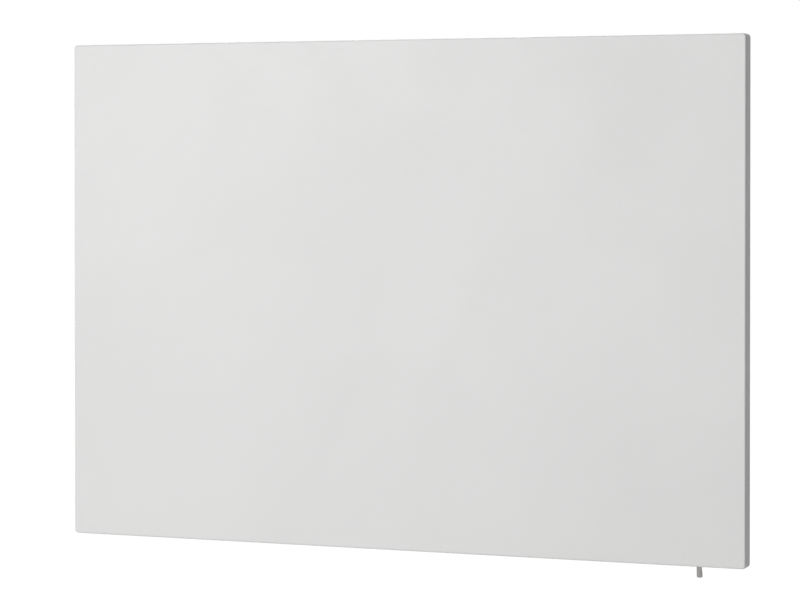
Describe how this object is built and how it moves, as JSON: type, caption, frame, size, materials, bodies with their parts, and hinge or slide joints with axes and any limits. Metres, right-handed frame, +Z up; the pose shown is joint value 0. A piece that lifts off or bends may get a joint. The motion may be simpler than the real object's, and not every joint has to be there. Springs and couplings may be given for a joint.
{
  "type": "infrared panel heater",
  "caption": "Slim flat infrared panel heater with a white steel front, wall rail, rear terminal box and toggle switch under its lower edge.",
  "frame": {"origin": "centre of the wall rail's back face, on the wall", "axes": "+X along the rail to the right as seen from the room, +Y into the wall, +Z up; the front of the heater faces -Y"},
  "size_m": [0.85, 0.0537, 0.6173],
  "materials": {
    "white_enamel": "satin powder coat, fine orange-peel texture",
    "galvanised_sheet": "galvanised, fine spangle, slightly dull",
    "zinc_steel": "bright zinc plated",
    "nickel_plate": "bright nickel plated",
    "copper_strip": "bare rolled copper",
    "bare_aluminium": "bare, rolled",
    "grey_moulding": "light grey moulded, fine spark texture",
    "black_moulding": "black moulded phenolic",
    "black_rubber": "matt black",
    "white_porcelain": "glazed white porcelain",
    "mineral_board": "pressed mineral fibre, dry and matt",
    "amber_film": "smooth amber film",
    "carbon_film": "printed carbon stripes on film",
    "black_lead": "heat-proof lead insulation",
    "brown_lead": "heat-proof lead insulation",
    "blue_lead": "heat-proof lead insulation",
    "green_lead": "heat-proof lead insulation"
  },
  "bodies": {
    "wall_mount": {"wall_rail": "galvanised_sheet"},
    "heater": {"front_panel": "white_enamel", "rear_cover": "galvanised_sheet", "hanger_left": "galvanised_sheet", "hanger_right": "galvanised_sheet", "cover_screw_1": "zinc_steel", "cover_screw_2": "zinc_steel", "cover_screw_3": "zinc_steel", "cover_screw_4": "zinc_steel", "cover_screw_5": "zinc_steel", "cover_screw_6": "zinc_steel", "cover_screw_7": "zinc_steel", "cover_screw_8": "zinc_steel", "hanger_screw_1": "zinc_steel", "hanger_screw_2": "zinc_steel", "hanger_screw_3": "zinc_steel", "hanger_screw_4": "zinc_steel", "lid_screw_1": "zinc_steel", "lid_screw_2": "zinc_steel", "lid_screw_3": "zinc_steel", "lid_screw_4": "zinc_steel", "box_screw_1": "zinc_steel", "box_screw_2": "zinc_steel", "standoff_screw_left": "zinc_steel", "standoff_screw_right": "zinc_steel", "backing_plate_left": "zinc_steel", "backing_plate_right": "zinc_steel", "cutout_bracket": "zinc_steel", "earth_stud": "zinc_steel", "earth_nut": "zinc_steel", "switch_bushing": "nickel_plate", "switch_nut": "nickel_plate", "switch_washer": "nickel_plate", "busbar_left": "copper_strip", "busbar_right": "copper_strip", "reflector_foil": "bare_aluminium", "thermal_cutout": "bare_aluminium", "terminal_box": "grey_moulding", "box_lid": "grey_moulding", "standoff_left": "grey_moulding", "standoff_right": "grey_moulding", "gland_body": "grey_moulding", "gland_cap": "grey_moulding", "gland_locknut": "grey_moulding", "switch_body": "black_moulding", "box_gasket": "black_rubber", "standoff_pad_left": "black_rubber", "standoff_pad_right": "black_rubber", "gland_seal": "black_rubber", "wire_grommet": "black_rubber", "terminal_block": "white_porcelain", "insulation_board": "mineral_board", "insulating_sheet": "amber_film", "heating_film": "carbon_film", "lead_live": "black_lead", "lead_switched": "brown_lead", "lead_feed": "brown_lead", "lead_neutral": "blue_lead", "lead_earth": "green_lead"},
    "toggle": {"toggle_lever": "nickel_plate"}
  },
  "joints": [
    {"name": "lift_off", "type": "slide", "parent": "wall_mount", "child": "heater", "axis": [0, 0, 1], "range_m": [0, 0.012]},
    {"name": "switch_throw", "type": "hinge", "parent": "heater", "child": "toggle", "pos_m": [0.361, -0.0192, -0.487], "axis": [1, 0, 0], "range_deg": [-22, 0]}
  ]
}
